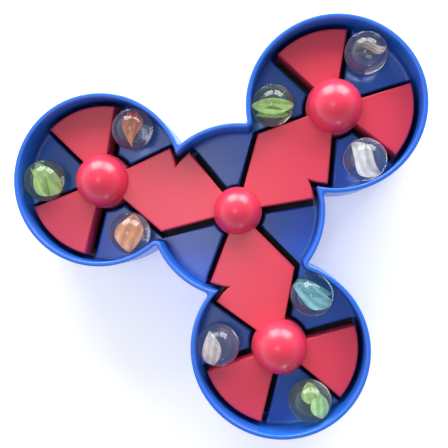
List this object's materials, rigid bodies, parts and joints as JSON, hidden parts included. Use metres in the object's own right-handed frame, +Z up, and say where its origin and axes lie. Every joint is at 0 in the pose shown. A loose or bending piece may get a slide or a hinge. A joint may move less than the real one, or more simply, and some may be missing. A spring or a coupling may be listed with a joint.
{
  "type": "marble tilt game",
  "caption": "Four-lobed tray with a press-down barrier that traps loose marbles in pockets round domed knobs.",
  "frame": {"origin": "centre lobe's axis at the flat resting face of the base cover", "axes": "+Z up out of the tray; the left outer lobe lies along -X, the other two at 60 and 300 degrees"},
  "size_m": [0.1366, 0.1481, 0.034],
  "materials": {
    "tray_blue": "gloss injection-moulded styrene, medium blue",
    "base_black": "satin injection-moulded styrene, near-black, hidden under the tray",
    "barrier_red": "satin injection-moulded styrene, warm red",
    "knob_red": "gloss injection-moulded styrene, red",
    "spring_steel": "drawn spring wire",
    "screw_steel": "zinc-plated self-tapping screw",
    "marble_glass": "clear soda-lime glass with a coloured vane inside"
  },
  "bodies": {
    "tray": {"tray": "tray_blue", "base_cover": "base_black", "lobe_screw_right": "screw_steel", "lobe_screw_left": "screw_steel", "lobe_screw_front": "screw_steel", "centre_screw_1": "screw_steel", "centre_screw_2": "screw_steel", "centre_screw_3": "screw_steel", "spring_centre": "spring_steel", "spring_right": "spring_steel", "spring_left": "spring_steel", "spring_front": "spring_steel"},
    "barrier": {"barrier": "barrier_red", "knob_centre": "knob_red", "knob_right": "knob_red", "knob_left": "knob_red", "knob_front": "knob_red"},
    "marble_right_1": {"marble_right_1": "marble_glass"},
    "marble_right_2": {"marble_right_2": "marble_glass"},
    "marble_right_3": {"marble_right_3": "marble_glass"},
    "marble_left_1": {"marble_left_1": "marble_glass"},
    "marble_left_2": {"marble_left_2": "marble_glass"},
    "marble_left_3": {"marble_left_3": "marble_glass"},
    "marble_front_1": {"marble_front_1": "marble_glass"},
    "marble_front_2": {"marble_front_2": "marble_glass"},
    "marble_front_3": {"marble_front_3": "marble_glass"}
  },
  "joints": [
    {"name": "barrier_press", "type": "slide", "parent": "tray", "child": "barrier", "axis": [0, 0, -1], "range_m": [0, 0.0081], "stiffness_N_per_m": 400, "springref_m": -0.006, "deforming": ["spring_centre", "spring_right", "spring_left", "spring_front"]},
    {"name": "roll_right_1", "type": "hinge", "parent": "tray", "child": "marble_right_1", "pos_m": [0.025, 0.0433, 0], "axis": [0, 0, 1], "range_deg": [-13.2, 0]},
    {"name": "roll_right_2", "type": "hinge", "parent": "tray", "child": "marble_right_2", "pos_m": [0.025, 0.0433, 0], "axis": [0, 0, 1], "range_deg": [-22, 0]},
    {"name": "roll_right_3", "type": "hinge", "parent": "tray", "child": "marble_right_3", "pos_m": [0.025, 0.0433, 0], "axis": [0, 0, 1], "range_deg": [-20.8, 0]},
    {"name": "roll_left_1", "type": "hinge", "parent": "tray", "child": "marble_left_1", "pos_m": [-0.05, 0, 0], "axis": [0, 0, 1], "range_deg": [-13.2, 0]},
    {"name": "roll_left_2", "type": "hinge", "parent": "tray", "child": "marble_left_2", "pos_m": [-0.05, 0, 0], "axis": [0, 0, 1], "range_deg": [-22, 0]},
    {"name": "roll_left_3", "type": "hinge", "parent": "tray", "child": "marble_left_3", "pos_m": [-0.05, 0, 0], "axis": [0, 0, 1], "range_deg": [-20.8, 0]},
    {"name": "roll_front_1", "type": "hinge", "parent": "tray", "child": "marble_front_1", "pos_m": [0.025, -0.0433, 0], "axis": [0, 0, 1], "range_deg": [-13.2, 0]},
    {"name": "roll_front_2", "type": "hinge", "parent": "tray", "child": "marble_front_2", "pos_m": [0.025, -0.0433, 0], "axis": [0, 0, 1], "range_deg": [-22, 0]},
    {"name": "roll_front_3", "type": "hinge", "parent": "tray", "child": "marble_front_3", "pos_m": [0.025, -0.0433, 0], "axis": [0, 0, 1], "range_deg": [-20.8, 0]}
  ]
}
